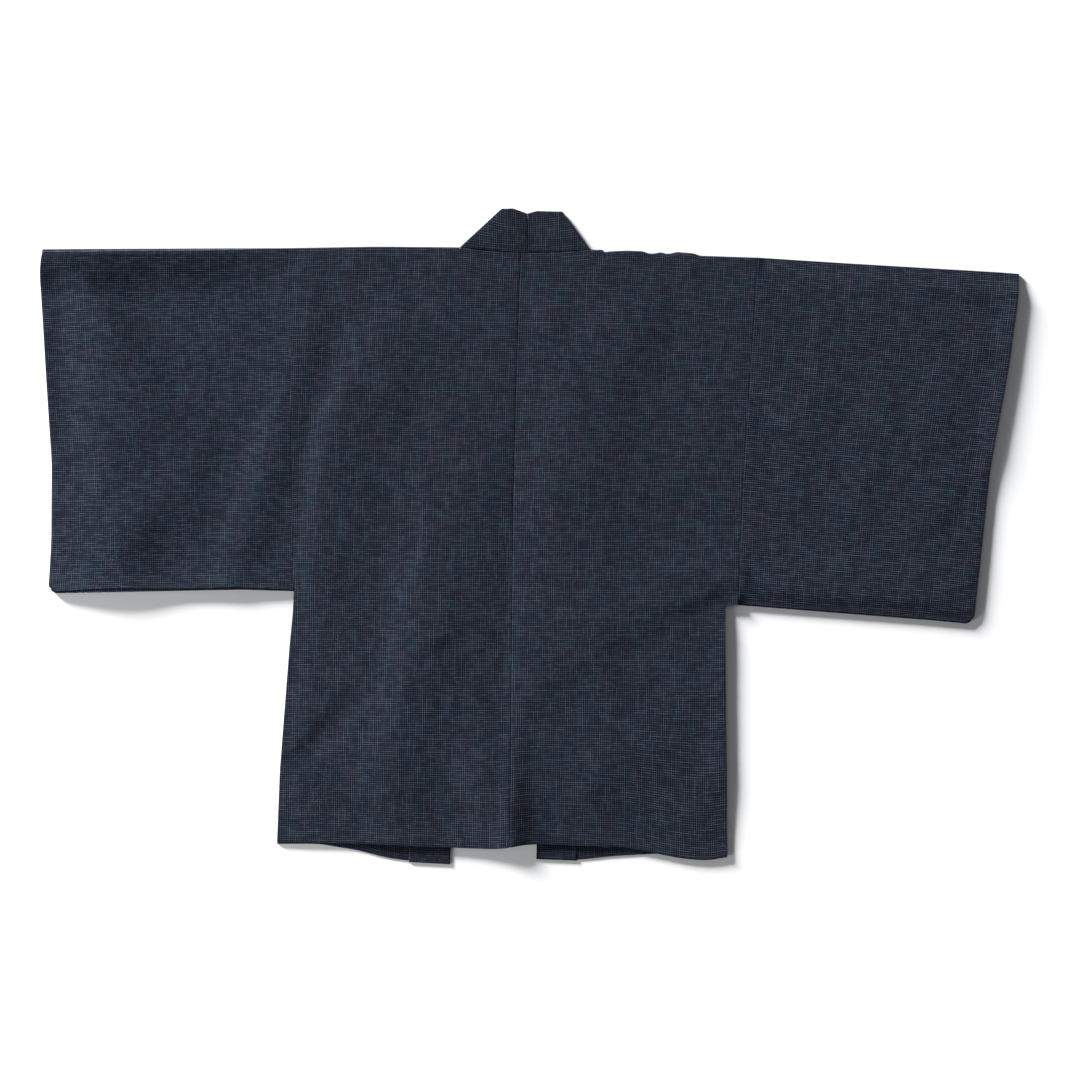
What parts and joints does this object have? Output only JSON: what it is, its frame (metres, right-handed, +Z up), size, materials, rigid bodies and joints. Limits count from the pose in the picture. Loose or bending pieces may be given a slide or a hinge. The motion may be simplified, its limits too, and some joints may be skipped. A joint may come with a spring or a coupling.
{
  "type": "haori jacket",
  "caption": "Haori jacket of dark cotton cloth laid out flat with its back side up, wide square sleeves spread to the sides, collar band standing behind the neck.",
  "frame": {"origin": "middle of the laid garment's outline, on the surface that it lies on", "axes": "+X across the garment towards the wearer's right sleeve, +Y from the hem towards the collar, +Z up, away from the surface"},
  "size_m": [1.3318, 0.894, 0.01],
  "materials": {
    "body_cloth": "dark navy cotton woven with fine broken slate lines both ways, matt with a slight sheen",
    "sleeve_cloth": "dark navy cotton woven with fine broken slate lines both ways, matt with a slight sheen",
    "gusset_cloth": "dark navy cotton woven with fine broken slate lines both ways, matt",
    "collar_cloth": "dark navy cotton woven with fine broken slate lines both ways, folded double and pressed"
  },
  "bodies": {
    "root": {"body_left": "body_cloth", "body_right": "body_cloth", "sleeve_left": "sleeve_cloth", "sleeve_right": "sleeve_cloth", "gusset_left": "gusset_cloth", "gusset_right": "gusset_cloth", "collar_left": "collar_cloth", "collar_right": "collar_cloth"}
  },
  "joints": []
}
